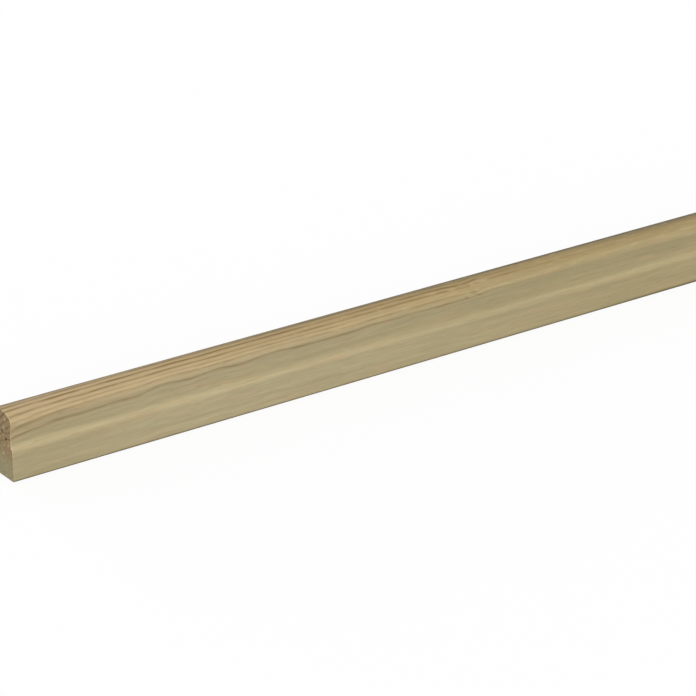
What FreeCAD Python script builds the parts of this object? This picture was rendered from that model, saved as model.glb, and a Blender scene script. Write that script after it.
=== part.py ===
# A length of planed pine profile moulding: one piece of stock, standing on its bottom edge.
# Millimetres. X runs along the length, and +Z is up. The moulded face looks along -Y, and the plain back
# along +Y. The origin is at the middle of the bottom edge.
import FreeCAD
import Part
import math
import os

# The strip as a whole
length = 2400.0
thickness = 18.0
height = 44.0

# The hollow across the middle of the face
hollow_level = 25.0         # its deepest line, above the bottom edge
hollow_depth = 1.8          # its deepest line, behind the flat band below it
hollow_foot_radius = 6.5    # its tight lower curve, and the upper one follows from the nose
lip_radius = 5.0            # the soft edge between the flat band and the hollow

# The rounded nose above the hollow
nose_radius = 5.3
nose_setback = 0.4          # its foremost line, behind the flat band

# The crowned top, from the nose to the back
crown_radius = 34.0
crest_from_back = 3.0       # its highest line, in front of the back

# The planed square edges of the bottom and the back
edge_radius = 0.6


def spot(setback, level):
    """A point of the section: setback behind the flat band, level above the bottom edge."""
    return FreeCAD.Vector(0, setback, level)


def towards(start, target, distance):
    """The point that lies the given distance from start, in the direction of target."""
    return start + (target - start).normalize() * distance


def arc(start, centre, end):
    """The shorter arc around centre from start to end."""
    radius = start.distanceToPoint(centre)
    middle = towards(centre, (start + end) * 0.5, radius)
    return Part.Arc(start, middle, end).toShape()


def line(start, end):
    return Part.LineSegment(start, end).toShape()


def level_gap(centre_distance, setback_gap):
    """How far apart in level two centres lie, from their distance and their gap in setback."""
    return math.sqrt(centre_distance ** 2 - setback_gap ** 2)


def nose_and_crown():
    """The centres of the nose and of the crown, which touch each other from inside."""
    crown = spot(thickness - crest_from_back, height - crown_radius)
    nose_centre_setback = nose_setback + nose_radius
    rise = level_gap(crown_radius - nose_radius, crown.y - nose_centre_setback)
    return spot(nose_centre_setback, crown.z + rise), crown


def hollow_and_lip():
    """The centres of the hollow's lower curve and of the lip, which touch from outside."""
    foot = spot(hollow_depth - hollow_foot_radius, hollow_level)
    drop = level_gap(hollow_foot_radius + lip_radius, lip_radius - foot.y)
    return foot, spot(lip_radius, hollow_level - drop)


def hollow_top_radius(nose):
    """The radius of the hollow's long upper curve, which starts upright and runs into the nose."""
    setback_gap = nose.y - hollow_depth
    rise = nose.z - hollow_level
    return (rise ** 2 + setback_gap ** 2 - nose_radius ** 2) / (2 * (nose_radius - setback_gap))


def face_edges():
    """The moulded face and the crowned top, from the flat band's foot up to the back."""
    nose, crown = nose_and_crown()
    foot, lip = hollow_and_lip()
    top_radius = hollow_top_radius(nose)
    top = spot(hollow_depth - top_radius, hollow_level)
    back_edge_setback = thickness - edge_radius
    back_edge_rise = level_gap(crown_radius - edge_radius, back_edge_setback - crown.y)
    back_edge = spot(back_edge_setback, crown.z + back_edge_rise)

    band_foot = spot(0, edge_radius)
    band_top = spot(0, lip.z)
    lip_to_hollow = towards(lip, foot, lip_radius)
    deepest = spot(hollow_depth, hollow_level)
    hollow_to_nose = towards(nose, top, nose_radius)
    nose_to_crown = towards(crown, nose, crown_radius)
    crest = spot(crown.y, height)
    crown_to_back = towards(crown, back_edge, crown_radius)
    back_top = spot(thickness, back_edge.z)
    return [
        line(band_foot, band_top),
        arc(band_top, lip, lip_to_hollow),
        arc(lip_to_hollow, foot, deepest),
        arc(deepest, top, hollow_to_nose),
        arc(hollow_to_nose, nose, nose_to_crown),
        arc(nose_to_crown, crown, crest),
        arc(crest, crown, crown_to_back),
        arc(crown_to_back, back_edge, back_top),
    ]


def back_and_bottom_edges(back_top, band_foot):
    """The plain back and bottom, with their planed edges."""
    back_centre = spot(thickness - edge_radius, edge_radius)
    front_centre = spot(edge_radius, edge_radius)
    back_foot = spot(thickness, edge_radius)
    bottom_back = spot(thickness - edge_radius, 0)
    bottom_front = spot(edge_radius, 0)
    return [
        line(back_top, back_foot),
        arc(back_foot, back_centre, bottom_back),
        line(bottom_back, bottom_front),
        arc(bottom_front, front_centre, band_foot),
    ]


def moulding():
    """The section drawn out along the length, and set with its bottom edge about the origin."""
    edges = face_edges()
    edges += back_and_bottom_edges(edges[-1].Vertexes[-1].Point, edges[0].Vertexes[0].Point)
    section = Part.Face(Part.Wire(edges))
    strip = section.extrude(FreeCAD.Vector(length, 0, 0))
    strip.translate(FreeCAD.Vector(-length / 2, -thickness / 2, 0))
    return strip


os.makedirs("parts", exist_ok=True)
strip = moulding()
strip.exportStep("parts/moulding.step")
box = strip.BoundBox
sizes = [round(size, 3) for size in (box.XLength, box.YLength, box.ZLength)]
print("moulding, mm:", sizes, "valid:", strip.isValid())
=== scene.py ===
import math

import bmesh
import bpy
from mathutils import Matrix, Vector, noise


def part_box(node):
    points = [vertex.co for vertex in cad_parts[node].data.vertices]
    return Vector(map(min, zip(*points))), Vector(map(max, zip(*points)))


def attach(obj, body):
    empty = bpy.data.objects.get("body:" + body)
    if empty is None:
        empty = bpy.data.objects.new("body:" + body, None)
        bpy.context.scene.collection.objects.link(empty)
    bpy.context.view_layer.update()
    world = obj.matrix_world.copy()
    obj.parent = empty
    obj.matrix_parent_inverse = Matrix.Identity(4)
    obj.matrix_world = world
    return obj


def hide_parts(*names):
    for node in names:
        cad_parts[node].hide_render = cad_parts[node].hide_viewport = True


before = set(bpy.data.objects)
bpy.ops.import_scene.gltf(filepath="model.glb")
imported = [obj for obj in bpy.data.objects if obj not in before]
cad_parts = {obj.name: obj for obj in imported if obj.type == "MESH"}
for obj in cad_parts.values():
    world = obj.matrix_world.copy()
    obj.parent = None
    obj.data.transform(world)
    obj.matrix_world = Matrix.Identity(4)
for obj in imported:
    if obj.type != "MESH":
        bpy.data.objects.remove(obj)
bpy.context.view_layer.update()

mm = 0.001  # metres in a millimetre

# The strip's own box gives its length, thickness and height, here in millimetres
lowCorner, highCorner = (Vector(corner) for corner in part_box("moulding"))
stripSize = highCorner - lowCorner
length, thickness, height = (size / mm for size in stripSize)


# Small helpers

def linearColour(hexCode):
    # An sRGB hex colour as the linear numbers that the shaders take
    channels = [int(hexCode[place:place + 2], 16) / 255 for place in (1, 3, 5)]
    linear = [c / 12.92 if c <= 0.04045 else ((c + 0.055) / 1.055) ** 2.4 for c in channels]
    return (*linear, 1.0)


def limited(value):
    return min(max(value, 0.0), 1.0)


def smoothRise(value, low, high):
    # 0 below low, 1 above high, and an eased rise between
    share = limited((value - low) / (high - low))
    return share * share * (3 - 2 * share)


def onStretch(value, rise, fall):
    # 1 between an eased rise and an eased fall, and 0 outside them
    return smoothRise(value, *rise) * (1 - smoothRise(value, *fall))


def wander(x, y, z):
    # Changes smoothly, between about -1 and 1, from one point to the next
    return noise.noise(Vector((x, y, z)))


def addNode(tree, kind, settings=None, inputs=None):
    # settings are the node's own. An input takes a value, a hex colour or another node's output
    node = tree.nodes.new(kind)
    for name, value in (settings or {}).items():
        setattr(node, name, value)
    for name, value in (inputs or {}).items():
        if isinstance(value, bpy.types.NodeSocket):
            tree.links.new(value, node.inputs[name])
        else:
            node.inputs[name].default_value = linearColour(value) if isinstance(value, str) else value
    return node


# The section. Setback is measured back from the flat band, and level up from the bottom edge, in millimetres

section = {
    "hollowLevel": 25.0,
    "hollowDepth": 1.8,
    "hollowFootRadius": 6.5,
    "lipRadius": 5.0,
    "noseRadius": 5.3,
    "noseSetback": 0.4,
    "crownRadius": 34.0,
    "crestFromBack": 3.0,
    "edgeRadius": 0.6,
    "cell": 0.7,            # the mesh's step across the section
    "fewestSteps": 3,       # on its smallest arcs
    "finestStation": 0.8,   # the mesh's step along the length beside an end or the kink in the grain
    "stationGrowth": 0.08,  # how fast that step grows away from them
    "widestStation": 7.5,
}


def spot(setback, level):
    # A point of the section, in metres in the frame, at the near end
    return Vector((lowCorner.x, lowCorner.y + setback * mm, lowCorner.z + level * mm))


def touching(centre, other, radius):
    # Where the arc of that radius about centre meets the one about other
    return centre + (other - centre).normalized() * radius


def arcTo(bm, vert, centre, target):
    # Turns the last vertex about a centre, the shorter way round to target
    start = vert.co - centre
    end = target - centre
    turn = math.atan2(end.z, end.y) - math.atan2(start.z, start.y)
    turn = (turn + math.pi) % (2 * math.pi) - math.pi
    steps = max(section["fewestSteps"], math.ceil(abs(turn) * start.length / (section["cell"] * mm)))
    made = bmesh.ops.spin(bm, geom=[vert], cent=centre, axis=(1, 0, 0), angle=turn, steps=steps)
    return next(item for item in made["geom_last"] if isinstance(item, bmesh.types.BMVert))


def lineTo(bm, vert, target, steps=None):
    if steps is None:
        steps = max(1, math.ceil((target - vert.co).length / (section["cell"] * mm)))
    stride = (target - vert.co) / steps
    for _ in range(steps):
        made = bmesh.ops.extrude_vert_indiv(bm, verts=[vert])
        vert = made["verts"][0]
        bmesh.ops.translate(bm, verts=[vert], vec=stride)
    return vert


def levelGap(centreDistance, setbackGap):
    # How far apart in level two centres lie
    return math.sqrt(centreDistance ** 2 - setbackGap ** 2)


def sectionCentres():
    # Each curve touches the next, so the centres follow from the radii
    s = section
    crown = (thickness - s["crestFromBack"], height - s["crownRadius"])
    noseCentreSetback = s["noseSetback"] + s["noseRadius"]
    noseRise = levelGap(s["crownRadius"] - s["noseRadius"], crown[0] - noseCentreSetback)
    nose = (noseCentreSetback, crown[1] + noseRise)
    foot = (s["hollowDepth"] - s["hollowFootRadius"], s["hollowLevel"])
    lipDrop = levelGap(s["hollowFootRadius"] + s["lipRadius"], s["lipRadius"] - foot[0])
    lip = (s["lipRadius"], s["hollowLevel"] - lipDrop)
    gap = nose[0] - s["hollowDepth"]
    rise = nose[1] - s["hollowLevel"]
    topRadius = (rise ** 2 + gap ** 2 - s["noseRadius"] ** 2) / (2 * (s["noseRadius"] - gap))
    top = (s["hollowDepth"] - topRadius, s["hollowLevel"])
    backEdgeSetback = thickness - s["edgeRadius"]
    backEdgeRise = levelGap(s["crownRadius"] - s["edgeRadius"], backEdgeSetback - crown[0])
    backEdge = (backEdgeSetback, crown[1] + backEdgeRise)
    return [spot(*centre) for centre in (crown, nose, foot, lip, top, backEdge)]


def drawSection(bm):
    # Up the face, over the crown, down the back and along the bottom. Returns the edges of face and back
    crown, nose, foot, lip, top, backEdge = sectionCentres()
    edgeRadius = section["edgeRadius"]
    radii = (section["lipRadius"], section["noseRadius"], section["crownRadius"])
    lipRadius, noseRadius, crownRadius = (radius * mm for radius in radii)

    start = bm.verts.new(spot(edgeRadius, 0))
    vert = arcTo(bm, start, spot(edgeRadius, edgeRadius), spot(0, edgeRadius))
    vert = lineTo(bm, vert, Vector((lowCorner.x, lowCorner.y, lip.z)))
    vert = arcTo(bm, vert, lip, touching(lip, foot, lipRadius))
    vert = arcTo(bm, vert, foot, spot(section["hollowDepth"], section["hollowLevel"]))
    vert = arcTo(bm, vert, top, touching(nose, top, noseRadius))
    noseTop = arcTo(bm, vert, nose, touching(crown, nose, crownRadius))
    bm.edges.ensure_lookup_table()
    frontRail = list(bm.edges)

    crest = arcTo(bm, noseTop, crown, Vector((lowCorner.x, crown.y, highCorner.z)))
    crownBack = arcTo(bm, crest, crown, touching(crown, backEdge, crownRadius))
    crownSteps = len(bm.edges) - len(frontRail)

    backStart = len(bm.edges)
    vert = arcTo(bm, crownBack, backEdge, Vector((lowCorner.x, highCorner.y, backEdge.z)))
    edgeSteps = len(bm.edges) - backStart
    vert = lineTo(bm, vert, spot(thickness, edgeRadius), len(frontRail) - 2 * edgeSteps)
    bottomBack = arcTo(bm, vert, spot(thickness - edgeRadius, edgeRadius), spot(thickness - edgeRadius, 0))
    bm.edges.ensure_lookup_table()
    backRail = list(bm.edges)[backStart:]
    last = lineTo(bm, bottomBack, start.co.copy(), crownSteps)
    bmesh.ops.weld_verts(bm, targetmap={last: start})
    print("section drawn:", len(frontRail), "steps at the front and back,", crownSteps, "across")
    return frontRail, backRail


def stationPlaces(busyPlaces):
    # Distances from the near end, close together beside an end or the kink
    places = [0.0]
    while places[-1] < length:
        nearest = min(abs(places[-1] - place) for place in busyPlaces)
        step = section["finestStation"] + section["stationGrowth"] * nearest
        places.append(places[-1] + min(step, section["widestStation"]))
    overshoot = places[-1] / length
    return [place / overshoot for place in places]


def drawStrip():
    bm = bmesh.new()
    frontRail, backRail = drawSection(bm)
    bmesh.ops.grid_fill(bm, edges=frontRail + backRail)
    made = bmesh.ops.extrude_face_region(bm, geom=list(bm.faces))
    farVerts = [item for item in made["geom"] if isinstance(item, bmesh.types.BMVert)]
    bmesh.ops.translate(bm, verts=farVerts, vec=(stripSize.x, 0, 0))
    places = stationPlaces((0.0, timber["kinkPlace"], length))
    longEdges = [e for e in bm.edges if abs(e.verts[0].co.x - e.verts[1].co.x) > stripSize.x / 2]
    bmesh.ops.subdivide_edges(bm, edges=longEdges, cuts=len(places) - 2, use_grid_fill=True)
    for vert in bm.verts:
        index = round((vert.co.x - lowCorner.x) / stripSize.x * (len(places) - 1))
        vert.co.x = lowCorner.x + places[index] * mm
    bmesh.ops.recalc_face_normals(bm, faces=bm.faces)
    print("strip drawn:", len(bm.verts), "vertices,", len(places), "stations")
    return bm


# The timber the strip was cut from, in millimetres: the tree's centre lies in front of and below the section.
# Places are distances from the near end, and depths are measured down from the crown. A pair of either says
# where a change begins and where it is complete

timber = {
    "pithSetback": -14.0,
    "pithLevel": -24.0,
    "crownLevel": 43.6,
    # Each dark ring line: its distance from the tree's centre, its strength, and the pair for its fading
    "rings": [
        (26, 0.10, 290, 340), (31, 0.12, 290, 340), (35.5, 0.08, 290, 340), (40, 0.05, 290, 340),
        (44.5, 0.05, 290, 340), (49.3, 0.08, 290, 340), (53.6, 0.08, 290, 340), (57.9, 0.10, 290, 340),
        (62, 0.55, 300, 480), (66.05, 0.48, 340, 400), (67.95, 0.46, 235, 280), (69.85, 0.75, 360, 540),
        (72.15, 1.00, 345, 430), (74.0, 0.85, 2400, 2600), (75.2, 0.80, 2400, 2600), (77, 0.80, 2400, 2600),
    ],
    "linesReturn": (640.0, 890.0),      # further on the faded lines come back,
    "returnShare": 0.8,                 # to this share of their strength
    "strengthMean": 0.9,                # every line also grows stronger and weaker on its way
    "strengthWander": 0.3,
    "strengthLength": 35.0,
    "strengthSeed": 5.0,
    "endDip": 0.95,                     # how far the grain dips at the near end, at the crown,
    "endDipGrowth": 0.57,               # and how much more for each millimetre of depth
    "endDipMost": 7.6,
    "endDipReach": 43.0,
    "shelfDip": 1.4,                    # the lower lines stay down for a while, then step up
    "shelfStart": (25.0, 55.0),
    "shelfStop": (92.0, 106.0),
    "shelfDepths": (6.0, 9.0),
    "waveHeight": 1.1,                  # they also go up and down in waves
    "waveLength": 44.0,
    "waveCrest": 104.0,
    "waveMiddle": 150.0,
    "waveReach": 60.0,
    "waveDepths": (3.0, 8.0),
    "kinkPlace": 348.0,                 # the sharp V in the grain
    "kinkReachNear": 30.0,
    "kinkReachFar": 19.0,
    "kinkDip": 1.15,
    "kinkSharpness": 1.3,
    "rise": 0.4,                        # around the kink the lines drift up,
    "riseGrowth": 0.36,                 # and by this much more for each millimetre of depth,
    "riseDeepest": 8.0,                 # down to here
    "riseStretch": (230.0, 520.0),
    "looseness": 0.12,                  # lines near the crown run straighter than lower ones
    "loosenessBelow": 0.9,
    "loosenessDepths": (1.0, 7.0),
    "loosenessSize": (28.0, 30.0, 16.0),
    "tremble": 0.15,
    "trembleSize": (11.0, 8.0, 5.0),
    "trembleSeed": 40,
    "farDrift": 2.2,                    # and further on they all drift together
    "farDriftLength": 420.0,
    "farDriftSeed": (3.7, 1.1),
    "farDriftStretch": (480.0, 760.0),
}


def growthRadius(along, setback, level):
    # Distance from the tree's centre, bent as the grain bends along the strip
    t = timber
    radius = math.hypot(setback - t["pithSetback"], level - t["pithLevel"])
    depth = max(t["crownLevel"] - level, 0.0)
    endDip = min(t["endDip"] + t["endDipGrowth"] * depth, t["endDipMost"])
    radius += endDip * math.exp(-along / t["endDipReach"])
    onShelf = onStretch(along, t["shelfStart"], t["shelfStop"])
    radius += t["shelfDip"] * onShelf * smoothRise(depth, *t["shelfDepths"])
    wave = -math.cos(2 * math.pi * (along - t["waveCrest"]) / t["waveLength"])
    waveFade = math.exp(-((along - t["waveMiddle"]) / t["waveReach"]) ** 2)
    radius += t["waveHeight"] * wave * waveFade * smoothRise(depth, *t["waveDepths"])
    pastKink = along - t["kinkPlace"]
    kinkReach = t["kinkReachFar"] if pastKink > 0 else t["kinkReachNear"]
    radius += t["kinkDip"] * max(0.0, 1.0 - abs(pastKink) / kinkReach) ** t["kinkSharpness"]
    rise = t["rise"] + t["riseGrowth"] * min(depth, t["riseDeepest"])
    radius -= rise * smoothRise(along, *t["riseStretch"])
    looseness = t["looseness"] + t["loosenessBelow"] * smoothRise(depth, *t["loosenessDepths"])
    alongSize, setbackSize, levelSize = t["loosenessSize"]
    radius += looseness * wander(along / alongSize, setback / setbackSize, level / levelSize)
    alongSize, setbackSize, levelSize = t["trembleSize"]
    tremble = wander(along / alongSize, setback / setbackSize, level / levelSize + t["trembleSeed"])
    radius += t["tremble"] * tremble
    drift = wander(along / t["farDriftLength"], *t["farDriftSeed"])
    return radius + t["farDrift"] * drift * smoothRise(along, *t["farDriftStretch"])


def lineStrength(along, ring):
    # Each line fades in its own stretch, and comes back further on
    strength, fadeStart, fadeStop = ring[1:]
    faded = smoothRise(along, fadeStart, fadeStop)
    back = smoothRise(along, *timber["linesReturn"])
    return strength * (1 - faded + timber["returnShare"] * back * faded)


def ringAt(along, radius):
    # Whole numbers of the first value lie on the dark lines. The second is the strength of the line there
    rings = timber["rings"]
    index = 0
    while index < len(rings) - 2 and radius > rings[index + 1][0]:
        index += 1
    inner, outer = rings[index], rings[index + 1]
    share = (radius - inner[0]) / (outer[0] - inner[0])
    outerShare = limited(share)
    strength = lineStrength(along, inner) * (1 - outerShare) + lineStrength(along, outer) * outerShare
    phase = index + share
    unevenness = wander(along / timber["strengthLength"], phase, timber["strengthSeed"])
    return phase, strength * (timber["strengthMean"] + timber["strengthWander"] * unevenness)


# The tones of the cooler inner and the warmer outer wood: 1 is the palest and 0 the deepest.
# Pairs are read as above

tones = {
    "warmWoodRadius": 60.0,             # the warmer wood begins here, measured from the tree's centre,
    "warmWoodBlend": 11.0,              # and blends in over this distance
    "coolAtEnd": 0.5,
    "coolPaler": (20.0, 110.0),
    "coolDeeper": (140.0, 520.0),
    "warmDeeper": (-120.0, 470.0),
    "furtherOn": (560.0, 900.0),        # from here on the tones only wander
    "coolMean": 0.45,
    "coolWander": 0.5,
    "coolLength": 310.0,
    "coolSeed": (8.2, 0.4),
    "warmMean": 0.4,
    "warmWander": 0.6,
    "warmLength": 270.0,
    "warmSeed": (1.2, 6.4),
    "hollowDeeper": 0.4,                # the hollow's wood is a deeper tone than the flat band's,
    "hollowInner": (44.5, 47.5),        # between these distances from the tree's centre
    "hollowOuter": (54.0, 58.0),
    "hollowStart": (0.0, 120.0),        # and between these places
    "hollowStop": (320.0, 520.0),
}


def woodTones(along, radius):
    t = tones
    cool = t["coolAtEnd"] + (1 - t["coolAtEnd"]) * smoothRise(along, *t["coolPaler"])
    cool -= smoothRise(along, *t["coolDeeper"])
    warm = 1 - smoothRise(along, *t["warmDeeper"])
    coolFurther = t["coolMean"] + t["coolWander"] * wander(along / t["coolLength"], *t["coolSeed"])
    warmFurther = t["warmMean"] + t["warmWander"] * wander(along / t["warmLength"], *t["warmSeed"])
    further = smoothRise(along, *t["furtherOn"])
    inHollow = onStretch(radius, t["hollowInner"], t["hollowOuter"])
    inHollow *= onStretch(along, t["hollowStart"], t["hollowStop"])
    return {
        "warmWood": limited((radius - t["warmWoodRadius"]) / t["warmWoodBlend"]),
        "coolTone": cool * (1 - further) + coolFurther * further - t["hollowDeeper"] * inHollow,
        "warmTone": warm * (1 - further) + warmFurther * further,
    }


# What the planer and handling left on the long faces, and the painted highlight and shade on them, in
# millimetres. Pairs are read as above

longFaces = {
    "softGrain": 0.04,                  # the softer wood lies this far below the dark lines
    "lineHalf": 0.25,                   # half a dark line, as a share of its ring
    "ridgeLevel": 21.4,                 # the ridge below the hollow, which faces up, gets a painted highlight,
    "ridgeReach": 1.9,
    "ridgeSetback": 5.0,
    "ridgeHighlight": 0.3,                    # most of all near the near end
    "ridgeHighlightLost": 0.22,
    "ridgeHighlightFades": (60.0, 260.0),
    "topShade": 0.9,                    # the crown's back edge gets painted shade, darker and wider further along,
    "topShadeGrowth": 0.7,
    "topReach": 2.4,
    "topReachGrowth": 0.7,
    "topGrows": (0.0, 520.0),
    "topReachStep": 1.1,
    "topSteps": (420.0, 540.0),
    "topShadeLost": 0.65,
    "topFades": (560.0, 760.0),
    "footNearest": 0.3,                 # and so does the bottom front edge
    "footReach": 1.5,
    "footReachStep": 1.3,
    "footSteps": (400.0, 560.0),
    # Small marks on the front of the crown, beside the kink: place, level, length and width
    "markSetback": 8.0,
    "ticks": [(352.5, 39.3, 6.5, 0.9), (345.5, 36.9, 4.0, 0.9), (357.0, 36.8, 2.0, 0.8)],
    "liftedShare": 0.4,                 # pale streaks, where the planer lifted a few fibres
    "liftedFibres": [
        (354.5, 42.8, 4.0, 0.8), (362.5, 43.1, 11.0, 0.7), (355.0, 40.3, 5.0, 0.8), (350.6, 37.4, 4.0, 0.9),
        (357.6, 38.2, 7.0, 0.8), (337.5, 42.85, 7.0, 0.7), (322.5, 43.3, 7.0, 0.7),
    ],
}

# What the saw left on both ends, and a painted highlight along their rims, in millimetres
sawnEnds = {
    "endDepth": 0.0001,                 # a vertex nearer to an end than this lies on it,
    "rimFacing": 0.95,                  # and on its rim where it faces along the strip less than this
    "faceFacing": 0.7,                  # a face is end grain where it faces along it more than this
    "toothDepth": 0.12,
    "toothSize": 0.9,
    "rimWear": 0.22,
    "rimWearMean": 0.7,
    "rimWearWander": 0.6,
    # the rim's pale line, partly frayed fibres and partly a painted highlight on the arris, comes and goes
    # along it above these levels
    "rimFrayedAndGlint": (-0.25, 0.25),
    "rimFrayedAndGlintLevels": (16.0, 20.0),
    "stainLevels": (7.0, 20.0),         # the wood turns a deeper brown between these levels
    "pitDepth": 0.9,
    "pitSize": (3.0, 1.7, 1.3),
    "pitSeed": 7,
    "pitSpread": (0.34, 0.5),           # the lower, the more of the wood is torn out
    "pitsFrom": (17.0, 21.0),           # pits lie between these levels
    "pitsTo": (32.0, 36.0),
    # The near end's larger pits and its pale specks: setback, level, and how wide and high
    "nearPits": [(11.6, 29.6, 2.2, 2.2), (7.8, 25.8, 2.0, 2.0)],
    "nearSpecks": [
        (7.4, 39.1, 1.5, 1.5), (9.8, 32.9, 1.5, 1.5), (10.7, 15.7, 1.6, 1.6), (10.9, 28.4, 1.2, 1.2),
    ],
}

markFade = (0.4, 1.6)   # a mark fades out between these shares of half its size

carvedLayers = ("ringPhase", "lineStrength", "warmWood", "coolTone", "warmTone",
                "edgeShade", "mark", "frayedAndGlint", "ridge", "speck")


def markShare(across, level, marks):
    # 1 in the middle of a mark, and 0 away from them all
    share = 0.0
    for markAcross, markLevel, markLength, markWidth in marks:
        reach = math.hypot((across - markAcross) / markLength * 2, (level - markLevel) / markWidth * 2)
        share = max(share, 1 - smoothRise(reach, *markFade))
    return share


# A painted highlight on the upward-facing ridge below the hollow, strongest near the near end
def paintedRidgeHighlight(along, setback, level):
    f = longFaces
    if setback >= f["ridgeSetback"]:
        return 0.0
    onRidge = math.exp(-((level - f["ridgeLevel"]) / f["ridgeReach"]) ** 2)
    return onRidge * (f["ridgeHighlight"] - f["ridgeHighlightLost"] * smoothRise(along, *f["ridgeHighlightFades"]))


# Painted shade along the crown's back edge and the bottom front edge
def edgeShadeShare(along, setback, level):
    f = longFaces
    growth = smoothRise(along, *f["topGrows"])
    topReach = f["topReach"] + f["topReachGrowth"] * growth
    topReach += f["topReachStep"] * smoothRise(along, *f["topSteps"])
    fromTopBack = math.hypot(setback - thickness, level - height)
    topShade = (f["topShade"] + f["topShadeGrowth"] * growth) * math.exp(-fromTopBack / topReach)
    topShade *= 1 - f["topShadeLost"] * smoothRise(along, *f["topFades"])
    footReach = f["footReach"] + f["footReachStep"] * smoothRise(along, *f["footSteps"])
    footShade = 1 - smoothRise(math.hypot(setback, level), f["footNearest"], footReach)
    return limited(max(topShade, footShade))


def carveFace(vert, along, setback, level, phase, strength):
    # Sinks the softer wood between the dark lines. Returns the marks there
    f = longFaces
    onLine = max(0.0, 1 - abs(phase - round(phase)) / f["lineHalf"]) * strength
    vert.co -= vert.normal * f["softGrain"] * (1 - onLine) * mm
    if setback > f["markSetback"]:
        return {}
    lifted = f["liftedShare"] * markShare(along, level, f["liftedFibres"])
    return {"mark": markShare(along, level, f["ticks"]), "frayedAndGlint": lifted}


def carveEnd(vert, along, setback, level):
    # Cuts the saw's teeth and the torn pits, and wears the rim. Returns the marks there
    e = sawnEnds
    rough = wander(setback / e["toothSize"], level / e["toothSize"], along)
    marks = {"warmWood": smoothRise(level, *e["stainLevels"])}
    pit = 0.0
    if abs(vert.normal.x) < e["rimFacing"]:
        outwards = Vector((0, vert.normal.y, vert.normal.z)).normalized()
        vert.co -= outwards * e["rimWear"] * (e["rimWearMean"] + e["rimWearWander"] * rough) * mm
        # A pale rim: partly frayed fibres, partly a painted highlight along the arris
        marks["frayedAndGlint"] = smoothRise(rough, *e["rimFrayedAndGlint"]) * smoothRise(level, *e["rimFrayedAndGlintLevels"])
    else:
        alongSize, setbackSize, levelSize = e["pitSize"]
        torn = wander(setback / setbackSize + e["pitSeed"], level / levelSize, along / alongSize)
        pit = smoothRise(torn, *e["pitSpread"]) * onStretch(level, e["pitsFrom"], e["pitsTo"])
        if along < length / 2:
            pit = max(pit, markShare(setback, level, e["nearPits"]))
            marks["speck"] = markShare(setback, level, e["nearSpecks"])
    marks["mark"] = pit
    inward = -1 if along > length / 2 else 1
    vert.co.x += inward * (e["toothDepth"] * (1 + rough) / 2 + e["pitDepth"] * pit) * mm
    return marks


def carveWood(bm):
    # Carves the fine relief, and notes on every vertex what the materials read there
    layers = {name: bm.verts.layers.float.new(name) for name in carvedLayers}
    for vert in bm.verts:
        along, setback, level = ((here - low) / mm for here, low in zip(vert.co, lowCorner))
        radius = growthRadius(along, setback, level)
        phase, strength = ringAt(along, radius)
        shown = {
            "ringPhase": phase,
            "lineStrength": limited(strength),
            "ridge": paintedRidgeHighlight(along, setback, level),
            "edgeShade": edgeShadeShare(along, setback, level),
        }
        shown.update(woodTones(along, radius))
        if min(along, length - along) > sawnEnds["endDepth"]:
            shown.update(carveFace(vert, along, setback, level, phase, strength))
        else:
            shown.update(carveEnd(vert, along, setback, level))
        for name, value in shown.items():
            vert[layers[name]] = value
    print("wood carved:", len(layers), "layers on", len(bm.verts), "vertices")


def buildMesh():
    bm = drawStrip()
    bm.normal_update()
    carveWood(bm)
    bm.normal_update()
    for face in bm.faces:
        face.smooth = True
        face.material_index = 1 if abs(face.normal.x) > sawnEnds["faceFacing"] else 0
    for edge in bm.edges:
        first, second = edge.link_faces
        edge.smooth = first.material_index == second.material_index
    mesh = bpy.data.meshes.new("pineMoulding")
    bm.to_mesh(mesh)
    bm.free()
    return mesh


# Materials. A pattern has the length and width of its marks, in millimetres, then its detail and roughness.
# A share names the pattern it reads, from which value to which, and what it gives at these two

planed = {
    "coolWoodPale": "#ADA17E",
    "coolWoodDeep": "#A2956F",
    "warmWoodPale": "#BDA57F",
    "warmWoodDeep": "#9E895B",
    # the colour of the painted highlight on the ridge below the hollow
    "paintedRidgeHighlight": "#D1BF94",
    "warmStreak": "#B69A74",
    "latewood": "#7E6434",
    # the colour of the painted shade along the top back and bottom front edges
    "paintedEdgeShade": "#5E5338",
    "fleck": "#7E6A45",
    # pale fibres; along the sawn rim this also carries a painted highlight
    "brokenFibre": "#C9B48D",
    "tickShare": 0.6,
    # A ring darkens slowly, then ends sharply: how far across it, and how dark there. It is 1 on its lines
    "ringDarkness": [(0.1, 0.6), (0.26, 0.0), (0.55, 0.0), (0.75, 0.3), (0.9, 0.85)],
    "patterns": {
        "fibres": (15.0, 0.4, 3.0, 0.6),
        "streaks": (90.0, 2.5, 2.0, 0.5),
        "lineBreaks": (20.0, 3.0, 2.0, 0.5),
        "warmth": (35.0, 4.0, 2.0, 0.5),
        "flecks": (9.0, 1.1, 1.0, 0.5),
    },
    "shares": {
        "unbroken": ("lineBreaks", 0.35, 0.65, 0.7, 1.4),   # each ring line comes and goes a little
        "warm": ("warmth", 0.5, 0.75, 0.0, 0.4),
        "fleck": ("flecks", 0.66, 0.78, 0.0, 0.25),         # dark ones are sparse,
        "paleFleck": ("flecks", 0.4, 0.28, 0.0, 0.3),       # and the warmer wood has pale ones as well
        "fibreTint": ("fibres", 0.3, 0.7, 0.895, 1.105),
        "streakTint": ("streaks", 0.3, 0.7, 0.94, 1.06),
    },
    "roughness": 0.62,
    "specular": 0.3,
    "ior": 1.5,
    "bumpStrength": 0.35,
    "bumpHeight": 0.06,
}

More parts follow.
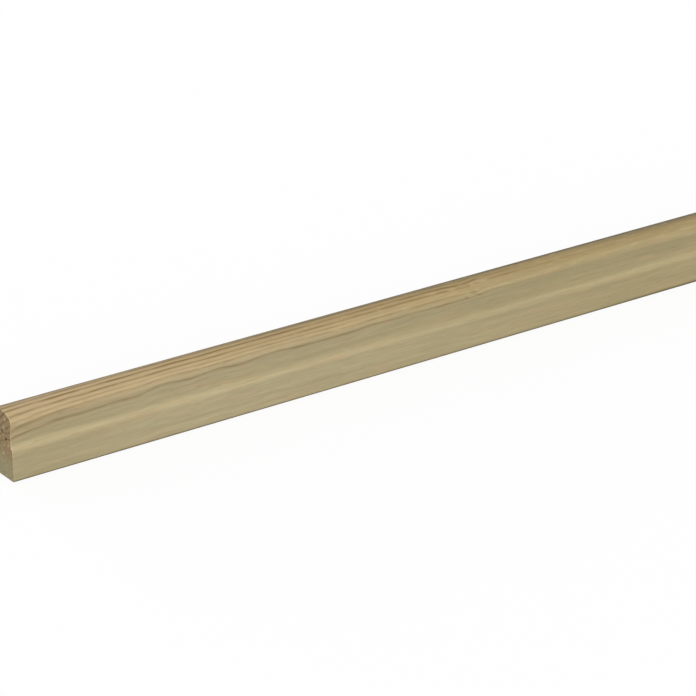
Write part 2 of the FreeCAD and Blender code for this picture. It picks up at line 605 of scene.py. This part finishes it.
sawn = {
    "stained": "#9B8562",
    "pale": "#9D9371",
    "latewood": "#6A5738",
    # the colour of the painted shade inside the torn pits
    "pit": "#4A3C26",
    "brokenFibre": "#C9B48D",
    "patterns": {
        "tornBundles": (1.4, 1.4, 3.0, 0.5),
        "specks": (1.8, 1.8, 0.0, 0.5),                     # only their cores show, about 1 mm across
    },
    "shares": {
        "lateInRing": ("acrossRing", 0.6, 0.9, 0.0, 1.0),
        "tint": ("tornBundles", 0.32, 0.68, 0.8, 1.2),
        "strewnSpeck": ("specks", 0.74, 0.8, 0.0, 0.6),
    },
    "roughness": 0.8,
    "specular": 0.2,
    "ior": 1.5,
    "bumpStrength": 0.5,
    "bumpHeight": 0.2,
}


def startMaterial(name):
    material = bpy.data.materials.new(name)
    material.use_nodes = True
    material.node_tree.nodes.clear()
    return material, material.node_tree


def gatherParts(tree, wood, layers):
    # All that a wood's colours follow from: the layers that carveWood noted, its patterns of noise, drawn out
    # along the strip until their marks are as long and as wide as their sizes say, and its shares
    part = {}
    for name in layers:
        part[name] = addNode(tree, "ShaderNodeAttribute", {"attribute_name": name}).outputs["Fac"]
    acrossRing = addNode(tree, "ShaderNodeMath", {"operation": "FRACT"}, {0: part["ringPhase"]})
    part["acrossRing"] = acrossRing.outputs[0]
    place = addNode(tree, "ShaderNodeTexCoord").outputs["Object"]
    for name, (markLength, markWidth, detail, roughness) in wood["patterns"].items():
        scale = [1 / (size * mm) for size in (markLength, markWidth, markWidth)]
        drawnOut = addNode(tree, "ShaderNodeMapping", None, {"Vector": place, "Scale": scale})
        inputs = {"Vector": drawnOut.outputs["Vector"], "Scale": 1.0}
        inputs.update({"Detail": detail, "Roughness": roughness})
        part[name] = addNode(tree, "ShaderNodeTexNoise", None, inputs).outputs["Fac"]
    for name, (pattern, low, high, lowShare, highShare) in wood["shares"].items():
        inputs = {"Value": part[pattern], "From Min": low, "From Max": high}
        inputs.update({"To Min": lowShare, "To Max": highShare})
        part[name] = addNode(tree, "ShaderNodeMapRange", None, inputs).outputs["Result"]
    return part


def layColours(tree, ground, coats):
    # Each coat is a share, and the colour that it lays over what is there
    for share, colour in coats:
        inputs = {"Factor": share, 6: ground, 7: colour}
        ground = addNode(tree, "ShaderNodeMix", {"data_type": "RGBA"}, inputs).outputs[2]
    return ground


def finishWood(tree, colour, grain, wood):
    # Bare wood: its grain stands up a little
    heights = {"Height": grain, "Strength": wood["bumpStrength"], "Distance": wood["bumpHeight"] * mm}
    bump = addNode(tree, "ShaderNodeBump", None, heights).outputs["Normal"]
    inputs = {"Base Color": colour, "Normal": bump, "Roughness": wood["roughness"]}
    inputs.update({"Specular IOR Level": wood["specular"], "IOR": wood["ior"]})
    surface = addNode(tree, "ShaderNodeBsdfPrincipled", None, inputs).outputs["BSDF"]
    addNode(tree, "ShaderNodeOutputMaterial", None, {"Surface": surface})


def planedPine():
    # Planed softwood: matt, with fine fibres along it, and dark latewood lines where rings meet the face
    material, tree = startMaterial("planed pine")
    part = gatherParts(tree, planed, [name for name in carvedLayers if name != "speck"])
    times = {"operation": "MULTIPLY"}

    darkness = addNode(tree, "ShaderNodeValToRGB", None, {"Fac": part["acrossRing"]})
    stops = darkness.color_ramp.elements
    stops[0].color = (1, 1, 1, 1)
    for place, dark in planed["ringDarkness"]:
        stops.new(place).color = (dark, dark, dark, 1)
    line = addNode(tree, "ShaderNodeMath", times, {0: part["unbroken"], 1: part["lineStrength"]}).outputs[0]
    line = addNode(tree, "ShaderNodeMath", times, {0: darkness.outputs["Color"], 1: line}).outputs[0]

    tick = addNode(tree, "ShaderNodeMath", times, {0: part["mark"], 1: planed["tickShare"]}).outputs[0]
    fleck = addNode(tree, "ShaderNodeMath", {"operation": "MAXIMUM"}, {0: part["fleck"], 1: tick}).outputs[0]
    paleFleck = addNode(tree, "ShaderNodeMath", times, {0: part["paleFleck"], 1: part["warmWood"]}).outputs[0]

    coolWood = layColours(tree, planed["coolWoodDeep"], [(part["coolTone"], planed["coolWoodPale"])])
    warmWood = layColours(tree, planed["warmWoodDeep"], [(part["warmTone"], planed["warmWoodPale"])])
    wood = layColours(tree, coolWood, [
        (part["warmWood"], warmWood),
        # painted highlight on the ridge below the hollow
        (part["ridge"], planed["paintedRidgeHighlight"]),
        (part["warm"], planed["warmStreak"]),
        (line, planed["latewood"]),
        # painted shade along the top back and bottom front edges
        (part["edgeShade"], planed["paintedEdgeShade"]),
        (fleck, planed["fleck"]),
        (paleFleck, planed["brokenFibre"]),
        (part["frayedAndGlint"], planed["brokenFibre"]),  # frayed fibres and a painted highlight along the sawn edges, and where the planer lifted fibres
    ])
    tint = addNode(tree, "ShaderNodeMath", times, {0: part["fibreTint"], 1: part["streakTint"]}).outputs[0]
    tinted = addNode(tree, "ShaderNodeVectorMath", {"operation": "SCALE"}, {0: wood, "Scale": tint})
    finishWood(tree, tinted.outputs["Vector"], part["fibres"], planed)
    return material


def sawnEndGrain():
    # Sawn end grain: darker than the face, as its open fibres drink the light, with faint rings, and torn
    # pits darkened with painted shade
    material, tree = startMaterial("sawn pine end grain")
    part = gatherParts(tree, sawn, ("ringPhase", "lineStrength", "warmWood", "mark", "speck"))
    strengths = {0: part["lateInRing"], 1: part["lineStrength"]}
    line = addNode(tree, "ShaderNodeMath", {"operation": "MULTIPLY"}, strengths).outputs[0]
    wood = layColours(tree, sawn["pale"], [(part["warmWood"], sawn["stained"]), (line, sawn["latewood"])])
    tinted = addNode(tree, "ShaderNodeVectorMath", {"operation": "SCALE"}, {0: wood, "Scale": part["tint"]})
    torn = layColours(tree, tinted.outputs["Vector"], [
        (part["strewnSpeck"], sawn["brokenFibre"]),
        (part["speck"], sawn["brokenFibre"]),
        # torn pits, darkened with painted shade
        (part["mark"], sawn["pit"]),
    ])
    finishWood(tree, torn, part["tornBundles"], sawn)
    return material


def buildMoulding():
    mesh = buildMesh()
    mesh.materials.append(planedPine())
    mesh.materials.append(sawnEndGrain())
    piece = bpy.data.objects.new("pine_moulding", mesh)
    bpy.context.scene.collection.objects.link(piece)
    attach(piece, "root")
    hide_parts("moulding")
    print("moulding built:", len(mesh.polygons), "faces")


# The studio. Spreads and directions are in degrees

studio = {
    "skyLight": 0.62,       # the even light from all round
    "floorTint": 0.42,      # how much of it the floor gives back
    "floorSeenTint": 0.98,  # how pale the camera sees the floor
    "floorSize": 40.0,      # metres
    "floorDrop": 0.2,       # millimetres below the bottom edge
    "shadowShare": 0.15,    # how much of the floor's own shading the camera sees
    "lampLight": 2.04,
    "lampSpread": 50.0,     # wide, as a large soft lamp close by
    "lampAzimuth": -30.0,   # in front of the moulded face, towards the near end
    "lampElevation": 31.0,
    "fillLight": 1.0,       # a low lamp behind, so that the plain back shows its colour too
    "fillSpread": 20.0,
    "fillAzimuth": 180.0,
    "fillElevation": 6.0,
}

# The camera stands as far off, and looks as steeply down, as the photo's
view = {
    "azimuth": -36.0,
    "elevation": 23.2,
    "focalLength": 154.05,
    "sensor": 36.0,
    "cornerDistance": 1792.7,   # millimetres along the line of sight to the near bottom corner,
    "cornerLeft": 201.2,        # which lies this far left of the middle, and this far below it
    "cornerBelow": 81.1,
}


def whiteForCamera(tree, seenByCamera, otherwise):
    # Camera, mirror and see-through rays meet the white background, and all other rays the real surface
    path = addNode(tree, "ShaderNodeLightPath").outputs
    white = path["Is Camera Ray"]
    for ray in ("Is Glossy Ray", "Is Transmission Ray"):
        white = addNode(tree, "ShaderNodeMath", {"operation": "MAXIMUM"}, {0: white, 1: path[ray]}).outputs[0]
    return addNode(tree, "ShaderNodeMixShader", None, {0: white, 1: otherwise, 2: seenByCamera}).outputs[0]


def setWorld():
    world = bpy.data.worlds.new("studio")
    bpy.context.scene.world = world
    world.use_nodes = True
    tree = world.node_tree
    tree.nodes.clear()
    whiteLight = {"Color": "#FFFFFF", "Strength": 1.0}
    white = addNode(tree, "ShaderNodeBackground", None, whiteLight).outputs[0]
    skyLight = {"Color": "#FFFFFF", "Strength": studio["skyLight"]}
    sky = addNode(tree, "ShaderNodeBackground", None, skyLight).outputs[0]
    addNode(tree, "ShaderNodeOutputWorld", None, {"Surface": whiteForCamera(tree, white, sky)})


def setFloor():
    bm = bmesh.new()
    bmesh.ops.create_grid(bm, x_segments=1, y_segments=1, size=studio["floorSize"] / 2)
    bmesh.ops.translate(bm, verts=bm.verts, vec=(0, 0, lowCorner.z - studio["floorDrop"] * mm))
    mesh = bpy.data.meshes.new("studioFloor")
    bm.to_mesh(mesh)
    bm.free()
    floor = bpy.data.objects.new("studio_floor", mesh)
    bpy.context.scene.collection.objects.link(floor)
    material, tree = startMaterial("pale studio floor")
    real, seen = (addNode(tree, "ShaderNodeBsdfDiffuse", None, {"Color": (tint, tint, tint, 1)}).outputs[0]
                  for tint in (studio["floorTint"], studio["floorSeenTint"]))
    white = addNode(tree, "ShaderNodeEmission", None, {"Color": "#FFFFFF", "Strength": 1.0}).outputs[0]
    shading = {0: studio["shadowShare"], 1: white, 2: seen}
    mixed = addNode(tree, "ShaderNodeMixShader", None, shading).outputs[0]
    addNode(tree, "ShaderNodeOutputMaterial", None, {"Surface": whiteForCamera(tree, mixed, real)})
    mesh.materials.append(material)
    print("floor laid")


def lookingFrom(azimuth, elevation):
    # The direction of sight from there: azimuth 0 looks along +Y, and a rising one turns to the left
    turn, tilt = math.radians(azimuth), math.radians(elevation)
    return Vector((-math.sin(turn) * math.cos(tilt), math.cos(turn) * math.cos(tilt), -math.sin(tilt)))


def setLamp(name):
    data = bpy.data.lights.new(name, "SUN")
    data.energy = studio[name + "Light"]
    data.angle = math.radians(studio[name + "Spread"])
    lamp = bpy.data.objects.new(name, data)
    direction = lookingFrom(studio[name + "Azimuth"], studio[name + "Elevation"])
    lamp.rotation_euler = direction.to_track_quat("-Z", "Y").to_euler()
    bpy.context.scene.collection.objects.link(lamp)
    print(name, "set")


def setCamera():
    turn = math.radians(view["azimuth"])
    forward = lookingFrom(view["azimuth"], view["elevation"])
    right = Vector((math.cos(turn), math.sin(turn), 0))
    up = right.cross(forward)
    offset = right * view["cornerLeft"] + up * view["cornerBelow"] - forward * view["cornerDistance"]
    data = bpy.data.cameras.new("camera")
    data.lens = view["focalLength"]
    data.sensor_width = view["sensor"]
    camera = bpy.data.objects.new("camera", data)
    camera.location = lowCorner + offset * mm
    camera.rotation_euler = forward.to_track_quat("-Z", "Y").to_euler()
    bpy.context.scene.collection.objects.link(camera)
    bpy.context.scene.camera = camera
    print("camera set at", [round(value, 3) for value in camera.location])


bpy.context.scene.view_settings.view_transform = "Standard"
buildMoulding()
setWorld()
setFloor()
setLamp("lamp")
setLamp("fill")
setCamera()
